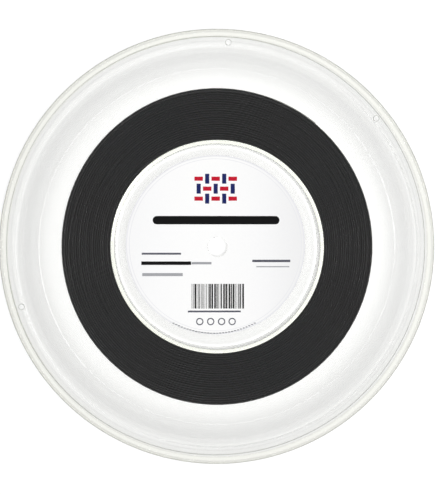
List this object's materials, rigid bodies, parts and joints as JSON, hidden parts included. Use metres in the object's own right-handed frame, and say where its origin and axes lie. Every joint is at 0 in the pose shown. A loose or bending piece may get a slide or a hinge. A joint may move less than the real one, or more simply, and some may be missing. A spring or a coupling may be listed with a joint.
{
  "type": "racket string reel",
  "caption": "Clear moulded spool of black racket string with flared flanges, a plain round label and a central spindle bore.",
  "frame": {"origin": "centre of the rear rim plane, which the reel lies on; the spindle axis rises from it", "axes": "+Z along the spindle axis out of the labelled front face, +Y towards the top of the label, +X to the label's right"},
  "size_m": [0.27, 0.27, 0.034],
  "materials": {
    "clear_plastic": "gloss",
    "black_string": "satin",
    "tape": "satin",
    "label_paper": "satin"
  },
  "bodies": {
    "root": {"front_half": "clear_plastic", "rear_half": "clear_plastic", "string_inner_layers": "black_string", "string_outer_layer": "black_string", "end_tape": "tape", "front_label": "label_paper"}
  },
  "joints": []
}
